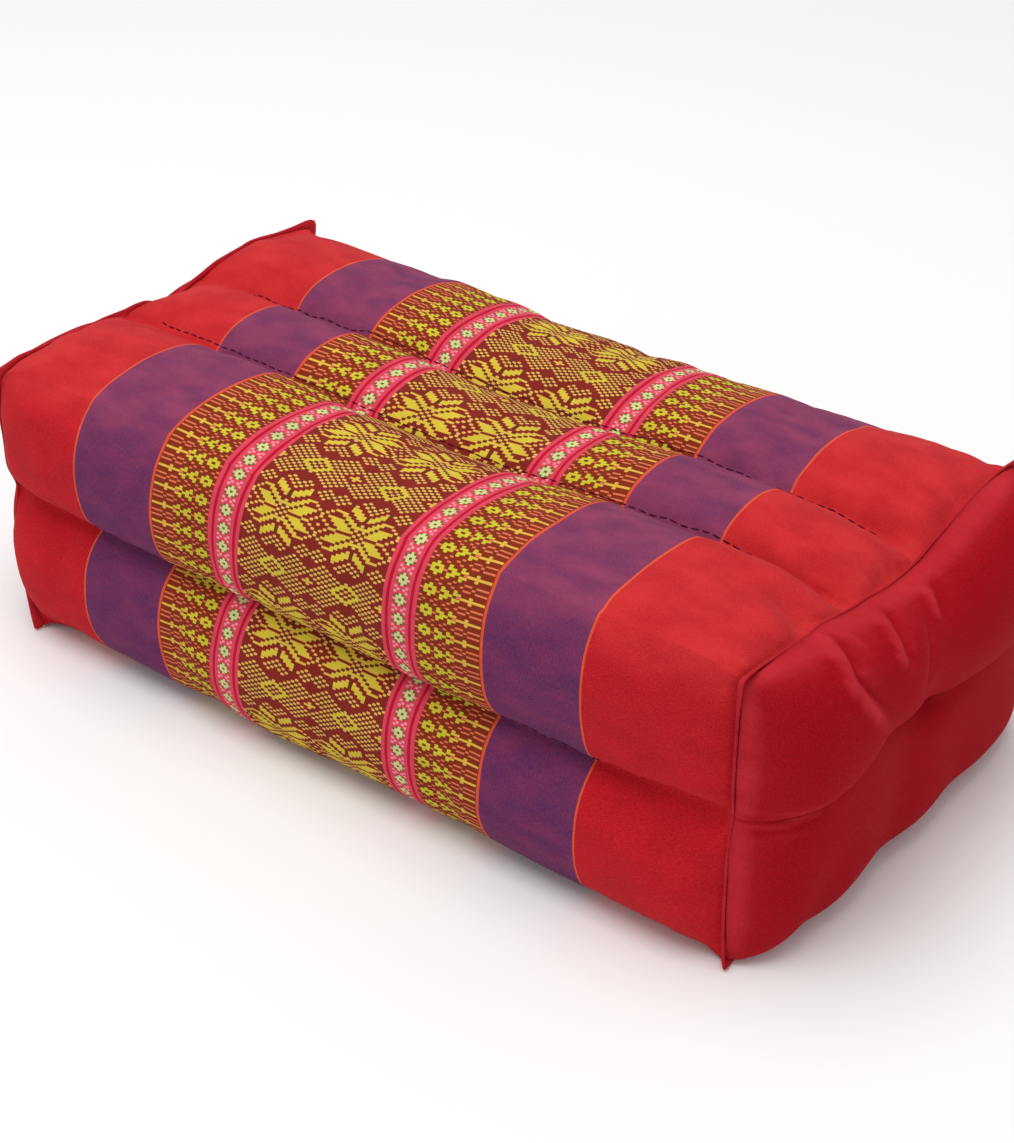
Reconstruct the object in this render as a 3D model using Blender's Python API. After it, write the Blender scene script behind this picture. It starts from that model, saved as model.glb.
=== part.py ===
"""Block cushion for meditation.

A striped woven wrap, filled and stitched into long channels, is closed by a cloth panel at each end.
X runs along the cushion, Y across it and Z up. The origin is on the floor, under the middle of the
cushion's box. A point of the cushion is found from its place on a cube with corners at -1 and 1:
along, across and up.
"""

import math

import bmesh
import bpy
from mathutils import Matrix, Vector

MM = 0.001

# Woven wrap: driving dimensions
SEAM_LENGTH = 350 * MM  # between the two end seams
SEAM_WIDTH = 184 * MM  # across an end, from corner to corner
SEAM_FLARE = 4.5 * MM  # how much further out the lower corners of an end lie than the upper ones
SEAM_BOTTOM = 1.5 * MM
SEAM_ARCH = 3.5 * MM  # how far the lower edge of an end lifts between its corners
CROWN_TOP = 120.5 * MM  # highest line of the middle and back channels
CROWN_DROP = 5 * MM  # how far the lower channels would hang below the floor if they weren't pressed flat
SIDE_STITCH_HEIGHT = 58.5 * MM
FRONT_HALF_WIDTH = 105.8 * MM  # at the fullest part of a long side, before the stitched line draws it in
BACK_HALF_WIDTH = 105.5 * MM
LOWER_BELLY = 2.2 * MM  # how much further the lower channels swell than that, and the upper ones less
BELLY_REACH = 0.55  # share of the half height at which the whole belly is reached
SHOULDER_SQUARENESS = 5.7  # how square the section is at its upper front shoulder: 2 is an ellipse
SHOULDER_CHANGE = 1.3  # how much squarer it gets towards the right end, and rounder towards the left
FRONT_SQUARENESS = 5.2  # at its lower front corner
BACK_SQUARENESS = 3.8  # at both its back corners
WAIST = 4 * MM  # how much lower the crown is at mid length
WAIST_REACH = 65 * MM
FRONT_RISE = 3.2 * MM  # how much higher the front channel is filled than the middle one
FRONT_RISE_CHANGE = 0.5  # share by which that grows towards the right end and shrinks towards the left
SWELL_LENGTH = 60 * MM  # the channels reach their full section this far from an end seam
UNEVENNESS = 0.9 * MM  # how much the filling's firmness varies the surface

# Slow waves that vary the firmness: turns in radians for each half length and each turn of the section
FIRMNESS_WAVES = (
    {"share": 0.5, "along": 5.1, "around": 2, "start": 0.7},
    {"share": 0.3, "along": 9.3, "around": -3, "start": 2.1},
    {"share": 0.2, "along": 14.2, "around": 1, "start": 0.0},
)

# Stitched lines: two along the top, two along the underside and one along each side
TOP_STITCH_SHARE = 0.226  # distance of a top line from the middle, as a share of the half width
TOP_VALLEY_DEPTH = 9.5 * MM
TOP_VALLEY_WIDTH = 12 * MM
SIDE_VALLEY_DEPTH = 9.5 * MM
SIDE_VALLEY_WIDTH = 10 * MM
FACE_BLEND_POWER = 6  # how soon a long face's own shaping fades out towards its edges

# End panels
CLOTH = 1.7 * MM
CLEARANCE = 0.35 * MM  # between the filled wrap and the panel's cloth
FLOOR_GAP = 0.3 * MM  # below the turned seam edges
SPREAD = 4.5 * MM  # how far a panel's swellings reach past its seam
SPREAD_POWER = 4
CREASE_SIDE_SHARE = 0.78  # how far the level crease stands out near the sides, as a share of the bulge
CREASE_MIDDLE_SHARE = 0.42  # and at the middle, where the panel is drawn in
CREASE_REACH = 0.36
MIDDLE_DRAW = 0.10  # how much less the upper row stands out at the middle
MIDDLE_REACH = 0.27
UPPER_FULLNESS = 2.0  # how square the upper row's section is: 2 is round
LOWER_FULLNESS = 3.2  # and the lower row's, pressed flat beneath
LOWER_SHARE = 0.93  # how far the lower row stands out, beside the upper row
FOLD_FADE = 0.25  # a fold has its full depth where the panel stands out by this share of the bulge
TAB_POWER = 10  # how close to its corners a seam's turned edge stands higher
FIN_LEAN = 0.25  # how far a seam's turned edge leans outwards, as a share of its height
FIN_WAVES = (
    {"share": 0.6, "around": 5, "start": 0.6},
    {"share": 0.4, "around": 11, "start": 0.0},
)

# Folds in the end panels: where each starts and ends, across and up, as shares of the half width and half
# height, with its depth and its half width in metres. A negative depth is a ridge.
RIGHT_FOLDS = (
    {"start": (-0.56, 1.00), "end": (-0.10, 0.12), "depth": 8.0 * MM, "width": 10 * MM},
    {"start": (-0.24, 0.97), "end": (-0.18, 0.55), "depth": -2.5 * MM, "width": 9 * MM},
    {"start": (0.17, 1.00), "end": (0.00, 0.62), "depth": 3.5 * MM, "width": 8 * MM},
    {"start": (-0.04, 0.50), "end": (0.06, 0.02), "depth": 3.5 * MM, "width": 8 * MM},
    {"start": (-0.74, -1.00), "end": (-0.62, -0.30), "depth": 4.5 * MM, "width": 10 * MM},
    {"start": (-0.22, -1.00), "end": (-0.10, -0.20), "depth": 5.5 * MM, "width": 15 * MM},
    {"start": (0.30, -1.00), "end": (0.14, -0.15), "depth": 2.0 * MM, "width": 13 * MM},
)
LEFT_FOLDS = (
    {"start": (-0.28, 1.00), "end": (-0.10, 0.20), "depth": 5.0 * MM, "width": 11 * MM},
    {"start": (0.42, 1.00), "end": (0.12, 0.15), "depth": 6.0 * MM, "width": 11 * MM},
    {"start": (-0.22, -1.00), "end": (-0.12, -0.25), "depth": 3.0 * MM, "width": 13 * MM},
    {"start": (0.28, -1.00), "end": (0.14, -0.20), "depth": 3.5 * MM, "width": 13 * MM},
)

# Ends of the cushion
# side: direction along X
# corner_top: height of the seam's upper corners
# lift, lift_power: how far the seam's upper edge stands above its corners, or hangs below, and how evenly
# dip: how far that edge is drawn down at its middle
# shoulder: how far the seam's upper back corner is drawn in
# notch: how far the seam's upright edges are drawn in at the side stitching
# bulge: how far the filling stands out past the seam
# front_dome, back_dome: how square the panel's dome is towards each side, seen from above
# slack: how gently the panel leaves its seam: a half is a round swelling, 1 a soft one
# tuck: how far the seam's lower corners lie towards the middle of the cushion
# fin, fin_wave: height of the seam's turned edge, and how much that varies
# tab: how much higher that edge stands at its corners
ENDS = {
    "left": {
        "side": -1, "corner_top": 106 * MM, "lift": 6.5 * MM, "lift_power": 0.5, "dip": 4 * MM,
        "shoulder": 0, "notch": 3 * MM, "bulge": 21 * MM, "front_dome": 4, "back_dome": 4,
        "slack": 1.0, "tuck": 9 * MM, "fin": 2.0 * MM, "fin_wave": 0.8 * MM, "tab": 4.0 * MM,
        "folds": LEFT_FOLDS,
    },
    "right": {
        "side": 1, "corner_top": 113 * MM, "lift": -7.5 * MM, "lift_power": 1.5, "dip": 0,
        "shoulder": 4.5 * MM, "notch": 1 * MM, "bulge": 30 * MM, "front_dome": 8, "back_dome": 7,
        "slack": 0.5, "tuck": -3 * MM, "fin": 2.0 * MM, "fin_wave": 0.4 * MM, "tab": 1.2 * MM,
        "folds": RIGHT_FOLDS,
    },
}
DIP_REACH = 0.12
NOTCH_REACH = 0.16
SHOULDER_POWER = 6  # how close to its corner a shoulder is drawn in
SHOULDER_FALL = 0.6  # how far it is drawn down, for each millimetre that it is drawn in

# Faces along each edge of the cube
LENGTH_FACES = 30
OUTER_CHANNEL_FACES = 10
MIDDLE_CHANNEL_FACES = 8
SIDE_CHANNEL_FACES = 8

CUT_MERGE = 1e-6  # points this near a cut are taken to be on it
EDGE = 1 - 1e-4  # past this, a place is on the cube's surface
END_LAYER = "end"  # for each face: -1 or 1 on an end, 0 along the cushion
CUBE_LAYER = "cube_place"

COLOURS = {
    "woven_wrap": (0.62, 0.035, 0.040, 1.0),
    "end_cloth": (0.47, 0.012, 0.022, 1.0),
}


def clear_scene():
    for item in list(bpy.data.objects):
        bpy.data.objects.remove(item)


def cloth_material(name):
    material = bpy.data.materials.new(name)
    material.use_nodes = True
    surface = material.node_tree.nodes["Principled BSDF"]
    surface.inputs["Base Color"].default_value = COLOURS[name]
    surface.inputs["Roughness"].default_value = 0.9
    surface.inputs["Metallic"].default_value = 0.0
    return material


def eased(start, end, count):
    """Stations between start and end, closer together near both."""
    return [start + (end - start) * (1 - math.cos(math.pi * k / count)) / 2 for k in range(1, count)]


def cube_stations():
    """Where the cube is cut along, across and up, so that a cut lies on each stitched line."""
    line = TOP_STITCH_SHARE
    along = eased(-1, 1, LENGTH_FACES)
    across = [
        *eased(-1, -line, OUTER_CHANNEL_FACES),
        -line,
        *eased(-line, line, MIDDLE_CHANNEL_FACES),
        line,
        *eased(line, 1, OUTER_CHANNEL_FACES),
    ]
    up = [*eased(-1, 0, SIDE_CHANNEL_FACES), 0.0, *eased(0, 1, SIDE_CHANNEL_FACES)]
    return along, across, up


def cut_cube():
    """A cube from -1 to 1, cut into the cushion's grid."""
    bm = bmesh.new()
    bmesh.ops.create_cube(bm, size=2)
    for axis, stations in enumerate(cube_stations()):
        normal = Vector((0, 0, 0))
        normal[axis] = 1
        for station in stations:
            everything = [*bm.verts, *bm.edges, *bm.faces]
            cut = normal * station
            bmesh.ops.bisect_plane(bm, geom=everything, plane_co=cut, plane_no=normal, dist=CUT_MERGE)
    return bm


def hump(place, reach):
    """1 at zero, falling smoothly to nothing past the reach."""
    return math.exp(-((place / reach) ** 2))


def valley(distance, width):
    """The section of a stitched line, sharp at the thread and open above."""
    return math.exp(-abs(distance) / width)


def swell(from_seam):
    """Share of the full section that the channels have reached, at a distance from the end seam."""
    left = max(0.0, 1 - from_seam / SWELL_LENGTH)
    return math.sqrt(1 - left * left)


def unevenness(along, angle):
    """Small, slow differences in how firmly the channels are filled, from -1 to 1."""
    return sum(
        wave["share"] * math.sin(wave["along"] * along + wave["around"] * angle + wave["start"])
        for wave in FIRMNESS_WAVES
    )


def seam_point(facts, across, up):
    """A point of one end's seam, for a place on the cube's edge, or of the flat figure inside it."""
    between = max(0.0, 1 - across * across)
    lift = facts["lift"] * between ** facts["lift_power"] - facts["dip"] * hump(across, DIP_REACH)
    top = facts["corner_top"] + lift
    bottom = SEAM_BOTTOM + SEAM_ARCH * between
    height = SIDE_STITCH_HEIGHT + up * (top - SIDE_STITCH_HEIGHT if up > 0 else SIDE_STITCH_HEIGHT - bottom)
    half_width = SEAM_WIDTH / 2 + SEAM_FLARE * max(0.0, -up) - facts["notch"] * hump(up, NOTCH_REACH)
    half_length = SEAM_LENGTH / 2 - facts["tuck"] * max(0.0, -up)
    drawn = facts["shoulder"] * (max(0.0, across) * max(0.0, up)) ** SHOULDER_POWER
    shoulder = Vector((0, -drawn, -SHOULDER_FALL * drawn))
    return Vector((facts["side"] * half_length, across * half_width, height)) + shoulder


def filled_point(x, across, up):
    """A point of the filled section at a place along the cushion, with its stitched valleys."""
    along = x / (SEAM_LENGTH / 2)
    shoulder = SHOULDER_SQUARENESS + SHOULDER_CHANGE * along
    front = shoulder if up > 0 else FRONT_SQUARENESS
    squareness = BACK_SQUARENESS if across > 0 else front
    half_width = BACK_HALF_WIDTH if across > 0 else FRONT_HALF_WIDTH
    corner = (abs(across) ** squareness + abs(up) ** squareness) ** (-1 / squareness)
    belly = -LOWER_BELLY * max(-1.0, min(1.0, up / BELLY_REACH))
    waist = WAIST * hump(x, WAIST_REACH)
    half_height = (CROWN_TOP - waist - SIDE_STITCH_HEIGHT) if up > 0 else (SIDE_STITCH_HEIGHT + CROWN_DROP)
    y = across * corner * (half_width + belly)
    z = up * corner * half_height
    line = TOP_STITCH_SHARE * half_width
    level_share = abs(up) ** FACE_BLEND_POWER
    upright_share = abs(across) ** FACE_BLEND_POWER
    loose = UNEVENNESS * unevenness(along, math.atan2(up, across))
    rise = FRONT_RISE * (1 + FRONT_RISE_CHANGE * along) * max(0.0, -across) if up > 0 else 0
    dip = TOP_VALLEY_DEPTH * (valley(y - line, TOP_VALLEY_WIDTH) + valley(y + line, TOP_VALLEY_WIDTH))
    draw = SIDE_VALLEY_DEPTH * valley(z, SIDE_VALLEY_WIDTH)
    z -= math.copysign(level_share, up) * (dip - loose - rise)
    y -= math.copysign(upright_share, across) * (draw - loose)
    return Vector((x, y, z + SIDE_STITCH_HEIGHT))


def wrap_point(along, across, up):
    """A point of the woven wrap, for a place on the cube's four long faces."""
    seam = seam_point(ENDS["right" if along > 0 else "left"], across, up)
    seam.x *= abs(along)
    point = seam.lerp(filled_point(seam.x, across, up), swell((1 - abs(along)) * SEAM_LENGTH / 2))
    point.z = max(0.0, point.z)
    return point


def fold_depth(fold, across, up):
    """How deep one fold is at a place on the end panel, fading out towards the fold's far end."""
    scale = Vector((SEAM_WIDTH / 2, SIDE_STITCH_HEIGHT))
    start = Vector(fold["start"]) * scale
    run = Vector(fold["end"]) * scale - start
    place = Vector((across, up)) * scale - start
    reached = max(0.0, min(1.0, place.dot(run) / run.length_squared))
    beside = (place - run * reached).length
    return fold["depth"] * hump(beside, fold["width"]) * (1 - reached**2)


def end_height(facts, across, up):
    """How far an end stands out past its seam: two rows of swellings with a level crease between."""
    square = max(0.0, 1 - abs(across) ** facts["back_dome" if across > 0 else "front_dome"])
    fullness = UPPER_FULLNESS if up > 0 else LOWER_FULLNESS
    row = (square * max(0.0, 1 - abs(2 * abs(up) - 1) ** fullness)) ** facts["slack"]
    bridge = square * max(0.0, 1 - abs(up) ** (2 * fullness)) ** facts["slack"]
    crease = CREASE_SIDE_SHARE + (CREASE_MIDDLE_SHARE - CREASE_SIDE_SHARE) * hump(across, CREASE_REACH)
    share = 1 - MIDDLE_DRAW * hump(across, MIDDLE_REACH) if up > 0 else LOWER_SHARE
    height = (1 - (1 - share) * row) * (crease * bridge + (1 - crease) * row)
    folded = min(1.0, height / FOLD_FADE)
    return facts["bulge"] * height - folded * sum(fold_depth(fold, across, up) for fold in facts["folds"])


def panel_point(facts, across, up):
    """A point of an end of the filled wrap, inside its seam."""
    height = end_height(facts, across, up)
    spread = SPREAD * height / facts["bulge"]
    point = seam_point(facts, across, up)
    point.x += facts["side"] * height
    point.y += math.copysign(spread * abs(across) ** SPREAD_POWER, across)
    point.z += math.copysign(spread * abs(up) ** SPREAD_POWER, up)
    point.z = max(point.z, FLOOR_GAP + CLOTH + CLEARANCE)
    return point


def shape_filled_body(bm):
    """Moves each point of the cut cube to its place on the cushion, and notes which end a face is on."""
    end = bm.faces.layers.int.new(END_LAYER)
    cube_place = bm.verts.layers.float_vector.new(CUBE_LAYER)
    for face in bm.faces:
        face[end] = round(face.normal.x)
    caps = [f for f in bm.faces if f[end]]
    bmesh.ops.triangulate(bm, faces=caps, quad_method="FIXED", ngon_method="BEAUTY")
    for vert in bm.verts:
        along, across, up = vert.co
        vert[cube_place] = vert.co
        if max(abs(across), abs(up)) > EDGE:
            vert.co = wrap_point(along, across, up)
        else:
            vert.co = panel_point(ENDS["right" if along > 0 else "left"], across, up)
    bm.normal_update()


def turned_edge(facts, place, across, up):
    """Where the turned edge of an end's seam stands, beside a place on that seam."""
    step = Vector((0, math.copysign(abs(across) > EDGE, across), math.copysign(abs(up) > EDGE, up)))
    angle = math.atan2(up, across)
    wave = sum(w["share"] * math.sin(w["around"] * angle + w["start"]) for w in FIN_WAVES)
    tab = facts["tab"] * min(abs(across), abs(up)) ** TAB_POWER
    height = facts["fin"] + facts["fin_wave"] * wave + tab
    edge = place + step * height
    edge.x += facts["side"] * FIN_LEAN * height
    edge.z = max(edge.z, FLOOR_GAP)
    return edge


def end_sheet(filled, facts):
    """The cloth of one end: the filling's end faces lifted clear, with the sewn edge turned out."""
    sheet = filled.copy()
    end = sheet.faces.layers.int[END_LAYER]
    cube_place = sheet.verts.layers.float_vector[CUBE_LAYER]
    elsewhere = [f for f in sheet.faces if f[end] != facts["side"]]
    bmesh.ops.delete(sheet, geom=elsewhere, context="FACES")
    sheet.normal_update()
    for vert in sheet.verts:
        vert.co += vert.normal * CLEARANCE
    rim = [e for e in sheet.edges if e.is_boundary]
    turned = bmesh.ops.extrude_edge_only(sheet, edges=rim)
    for vert in [g for g in turned["geom"] if isinstance(g, bmesh.types.BMVert)]:
        vert.co = turned_edge(facts, vert.co, *vert[cube_place].yz)
    bmesh.ops.recalc_face_normals(sheet, faces=sheet.faces)
    if sum(f.normal.x for f in sheet.faces) * facts["side"] < 0:
        bmesh.ops.reverse_faces(sheet, faces=sheet.faces)
    return sheet


def add_object(name, bm, material):
    mesh = bpy.data.meshes.new(name)
    bm.to_mesh(mesh)
    bm.free()
    mesh.shade_smooth()
    mesh.materials.append(material)
    item = bpy.data.objects.new(name, mesh)
    bpy.context.scene.collection.objects.link(item)
    return item


def thicken(item):
    """Gives a sheet its cloth thickness, outwards."""
    solid = item.modifiers.new("cloth", "SOLIDIFY")
    solid.thickness = CLOTH
    solid.offset = 1.0
    solid.use_rim = True


def centre_on_floor(items):
    """Moves the whole cushion so that its box stands on the floor around the origin."""
    bpy.context.view_layer.update()
    graph = bpy.context.evaluated_depsgraph_get()
    corners = [Vector(c) for item in items for c in item.evaluated_get(graph).bound_box]
    low = Vector(min(c[k] for c in corners) for k in range(3))
    high = Vector(max(c[k] for c in corners) for k in range(3))
    shift = Vector((-(low.x + high.x) / 2, -(low.y + high.y) / 2, -low.z))
    for item in items:
        item.data.transform(Matrix.Translation(shift))


def build():
    clear_scene()
    filled = cut_cube()
    shape_filled_body(filled)
    sheets = {end: end_sheet(filled, facts) for end, facts in ENDS.items()}
    items = [add_object("woven_wrap", filled, cloth_material("woven_wrap"))]
    end_cloth = cloth_material("end_cloth")
    for end, sheet in sheets.items():
        panel = add_object(f"end_panel_{end}", sheet, end_cloth)
        thicken(panel)
        items.append(panel)
    centre_on_floor(items)


build()
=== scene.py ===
import math

import bmesh
import bpy
import numpy as np
from mathutils import Matrix, Vector
from mathutils.bvhtree import BVHTree


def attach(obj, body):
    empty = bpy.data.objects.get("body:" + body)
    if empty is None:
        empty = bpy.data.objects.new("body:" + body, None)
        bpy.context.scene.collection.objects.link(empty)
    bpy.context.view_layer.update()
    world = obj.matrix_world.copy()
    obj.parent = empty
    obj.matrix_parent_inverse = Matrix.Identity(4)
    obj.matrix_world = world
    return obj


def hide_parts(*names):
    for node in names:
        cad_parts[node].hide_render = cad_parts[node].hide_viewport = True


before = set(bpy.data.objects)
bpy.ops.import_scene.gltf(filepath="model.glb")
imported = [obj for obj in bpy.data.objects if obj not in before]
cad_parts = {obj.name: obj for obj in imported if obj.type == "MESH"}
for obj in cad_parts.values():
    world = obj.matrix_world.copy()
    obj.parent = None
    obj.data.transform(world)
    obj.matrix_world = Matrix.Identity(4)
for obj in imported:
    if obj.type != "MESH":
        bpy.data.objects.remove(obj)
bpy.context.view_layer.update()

# Woven wrap, filled
# One length of striped cotton, woven with a band of star flowers at its middle, is wrapped round a firm kapok
# filling, stitched through it along six lines that make its channels, and sewn to the end panels.
MM = 0.001
SEAM_LENGTH = 350 * MM  # between the two end seams
SEAM_WIDTH = 184 * MM
SEAM_FLARE = 4.5 * MM  # how much further out the lower corners of an end lie than the upper ones
SEAM_BOTTOM = 1.5 * MM
SEAM_ARCH = 3.5 * MM
CROWN_TOP = 120.5 * MM
CROWN_DROP = 5 * MM  # how far the lower channels would hang below the floor if they weren't pressed flat
SIDE_STITCH_HEIGHT = 58.5 * MM
FRONT_HALF_WIDTH = 105.8 * MM
BACK_HALF_WIDTH = 105.5 * MM
LOWER_BELLY = 2.2 * MM
BELLY_REACH = 0.55
SHOULDER_SQUARENESS = 5.7
SHOULDER_CHANGE = 1.3
FRONT_SQUARENESS = 5.2
BACK_SQUARENESS = 3.8
WAIST = 4 * MM
WAIST_REACH = 65 * MM
FRONT_RISE = 3.2 * MM
FRONT_RISE_CHANGE = 0.5
SWELL_CHANGE = 0.4  # how far below the side stitches the lower row's swell is reached
CORNER_SWELL_CUT = 0.6  # the upper corners round off sooner
CORNER_SWELL_POWER = 5
UNEVENNESS = 0.9 * MM
# Columns are share, turns along, turns around and start
FIRMNESS_WAVES = ((0.5, 5.1, 2, 0.7), (0.3, 9.3, -3, 2.1), (0.2, 14.2, 1, 0.0))
TOP_LINE = 0.226  # where the stitched lines of the top and the underside lie, as a share of the half width
TOP_VALLEY_DEPTH = 9.5 * MM
TOP_VALLEY_WIDTH = 12 * MM
SIDE_VALLEY_DEPTH = 9.5 * MM
SIDE_VALLEY_WIDTH = 10 * MM
TOP_CREASE_DEPTH = 1.6 * MM  # the thread's own crease, at the bottom of each valley
SIDE_CREASE_DEPTH = 3 * MM
STITCH_CREASE_WIDTH = 3.5 * MM
FACE_BLEND_POWER = 6
FILLING_SHARE = 0.86  # how far the filling's ends stand out, beside the panels' cloth
SPREAD = 4.5 * MM
SPREAD_POWER = 4
CREASE_SIDE_SHARE = 0.78
CREASE_MIDDLE_SHARE = 0.42
CREASE_REACH = 0.36
MIDDLE_DRAW = 0.10
MIDDLE_REACH = 0.27
UPPER_FULLNESS = 2.0
LOWER_FULLNESS = 3.2
LOWER_SHARE = 0.79
LOWER_BACK_DRAW = 0.06
FOLD_FADE = 0.1
DIP_REACH = 0.12
NOTCH_REACH = 0.16
SHOULDER_POWER = 6
CORNER_POWER = 12
SHOULDER_FALL = 0.6
MIDDLE_SHIFT = Vector((-4.94, 0.84, 0)) * MM  # from the middle of the seams to the middle of the part's box

# Folds in the end panels. Columns are width, sharpness and path, and a path's are across, up and depth.
# Across and up are shares of the half width and height, and width and depth are in millimetres. Depth is
# negative for a ridge, and sharpness is 2 for a soft trough and 1 for a crease.
RIGHT_FOLDS = (
    (3.5, 2, ((-0.56, 1, -2), (-0.61, 0.93, -2.8), (-0.65, 0.84, -2.8), (-0.62, 0.73, -2.4),
              (-0.57, 0.61, -1.8), (-0.5, 0.48, -0.6))),
    (3.4, 1.3, ((-0.5, 1, 3.5), (-0.54, 0.93, 5), (-0.58, 0.84, 5), (-0.56, 0.73, 4.4), (-0.5, 0.6, 3.2),
                (-0.43, 0.46, 1.4), (-0.36, 0.34, 0))),
    (10, 2, ((-0.44, 0.92, 1), (-0.44, 0.72, 2.4), (-0.4, 0.54, 2.8), (-0.35, 0.38, 2.2),
             (-0.28, 0.22, 1.2))),
    (2.8, 2, ((-0.21, 1, -1.8), (-0.26, 0.95, -2.6), (-0.31, 0.88, -2.6), (-0.33, 0.82, -1.8),
              (-0.33, 0.73, 0))),
    (3.2, 1.4, ((-0.15, 1, 3), (-0.2, 0.95, 4.4), (-0.25, 0.88, 4.2), (-0.27, 0.81, 2.6), (-0.27, 0.7, 0))),
    (2.5, 2, ((0.16, 1, -1), (0.08, 0.95, -1.8), (0.02, 0.88, -1.6), (0, 0.8, 0))),
    (3.5, 1.5, ((0.21, 1, 1.5), (0.13, 0.95, 2.6), (0.07, 0.87, 2.2), (0.04, 0.74, 0))),
    (1.8, 1.2, ((-0.02, 0.9, 0), (-0.1, 0.78, 1.4), (-0.15, 0.6, 1.6), (-0.17, 0.45, 1.2), (-0.15, 0.3, 0))),
    (1.8, 1.2, ((-1, 0, 1.5), (-0.9, 0.02, 2.5), (-0.75, 0.05, 2.5), (-0.62, 0.12, 1))),
    (1.4, 1.5, ((-1, 0.07, 0.8), (-0.88, 0.07, 1), (-0.76, 0.08, 0))),
    (1.4, 1.5, ((-1, -0.08, 0.8), (-0.86, -0.05, 1), (-0.72, -0.01, 0))),
    (9, 2, ((-0.12, 0.5, 0.6), (-0.04, 0.25, 3), (0.02, 0.05, 3))),
    (10, 2, ((-0.74, -1, 3), (-0.68, -0.65, 2.4), (-0.62, -0.3, 0))),
    (15, 2, ((-0.22, -1, 2.5), (-0.2, -0.6, 3), (-0.16, -0.1, 2))),
    (13, 2, ((0.3, -1, 2), (0.14, -0.15, 0))),
)
LEFT_FOLDS = (
    (11, 2, ((-0.28, 1, 5), (-0.18, 0.55, 3.8), (-0.1, 0.2, 0))),
    (11, 2, ((0.42, 1, 6), (0.26, 0.55, 4.5), (0.12, 0.15, 0))),
    (13, 2, ((-0.22, -1, 3), (-0.12, -0.25, 0))),
    (13, 2, ((0.28, -1, 3.5), (0.14, -0.2, 0))),
)
# How far each end's upper seam rises past its even line: columns are across and millimetres
RIGHT_SEAM_LINE = (
    (-1, 0.8), (-0.8, 0.6), (-0.57, 0.8), (-0.47, 1.8), (-0.26, -0.8), (-0.15, -1.4), (0, -3.8), (0.12, -4.4),
    (0.24, -4.4), (0.36, -2.6), (0.7, 0.4), (1, 0),
)
LEFT_SEAM_LINE = (
    (-1, 0), (-0.87, 2.8), (-0.66, 1.7), (-0.37, -0.6), (-0.24, -2), (-0.1, -0.8), (0.11, -4.5), (0.24, -2.8),
    (0.35, 0.2), (0.59, 3.8), (0.83, 2.3), (1, 1.2),
)
# Where the level crease between an end's two rows runs: columns are across and up
RIGHT_CREASE = (
    (-1, 0), (-0.9, 0.02), (-0.75, 0.05), (-0.62, 0.1), (-0.5, 0.17), (-0.4, 0.2), (-0.28, 0.15),
    (-0.15, 0.07), (0, 0.02), (0.2, 0), (1, 0),
)
LEFT_CREASE = ((-1, 0), (-0.3, 0.06), (0.2, -0.04), (1, 0))
# What sets the ends apart: columns are name, left and right
END_FACTS = (
    ("side", -1, 1),
    ("corner_top", 106 * MM, 113 * MM),
    ("lift", 6.5 * MM, -7.5 * MM),
    ("lift_power", 0.5, 1.5),
    ("dip", 4 * MM, 0),
    ("shoulder", 0, 4.5 * MM),
    ("notch", 3 * MM, 1 * MM),
    ("bulge", 21 * MM, 30 * MM),
    ("front_dome", 4, 8),
    ("back_dome", 4, 7),
    ("slack", 1.0, 0.5),
    ("tuck", 9 * MM, -3 * MM),
    ("corner_tuck", 9 * MM, 0),
    ("corner_flare", 3 * MM, 0),
    ("fin_wave", 0.8 * MM, 0.4 * MM),
    ("tab", 3.4 * MM, 2.8 * MM),
    ("lean", 0.2, 0.9),
    ("swell", 38 * MM, 60 * MM),
    ("lower_swell", 30 * MM, 27 * MM),
    ("folds", LEFT_FOLDS, RIGHT_FOLDS),
    ("crease", LEFT_CREASE, RIGHT_CREASE),
    ("seam_line", LEFT_SEAM_LINE, RIGHT_SEAM_LINE),
)
ENDS = {end: {name: pair[k] for name, *pair in END_FACTS} for k, end in enumerate(("left", "right"))}

WRAP_FACES = {"along": 100, "outer channel": 20, "middle channel": 10, "side channel": 13}
# On the cube: how near two cuts become one, how near a place is on a stitched line, and where a face starts
CUT_MERGE = 1e-6
LINE_MATCH = 1e-5
EDGE = 1 - 1e-4


def even(start, end, count):
    return [start + (end - start) * k / count for k in range(1, count)]


def eased(start, end, count):
    """Stations between start and end, closer together near both."""
    return [start + (end - start) * (1 - math.cos(math.pi * k / count)) / 2 for k in range(1, count)]


def cut_cube(faces, spaced, seam_cut=()):
    """A cube from -1 to 1, cut so that a cut lies on each stitched line."""
    line = TOP_LINE
    stations = (
        [*even(-1, 1, faces["along"]), *seam_cut],
        [
            *spaced(-1, -line, faces["outer channel"]),
            -line,
            *spaced(-line, line, faces["middle channel"]),
            line,
            *spaced(line, 1, faces["outer channel"]),
        ],
        [*spaced(-1, 0, faces["side channel"]), 0.0, *spaced(0, 1, faces["side channel"])],
    )
    bm = bmesh.new()
    bmesh.ops.create_cube(bm, size=2)
    for axis in (1, 2, 0):
        normal = Vector((0, 0, 0))
        normal[axis] = 1
        for station in stations[axis]:
            everything = [*bm.verts, *bm.edges, *bm.faces]
            place = normal * station
            bmesh.ops.bisect_plane(bm, geom=everything, plane_co=place, plane_no=normal, dist=CUT_MERGE)
    return bm


def hump(place, reach):
    return math.exp(-((place / reach) ** 2))


def valley(distance, width):
    return math.exp(-abs(distance) / width)


def swell(from_seam, length):
    left = max(0.0, 1 - from_seam / length)
    return math.sqrt(1 - left * left)


def unevenness(along, angle):
    return sum(
        share * math.sin(turns * along + around * angle + start)
        for share, turns, around, start in FIRMNESS_WAVES
    )


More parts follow.
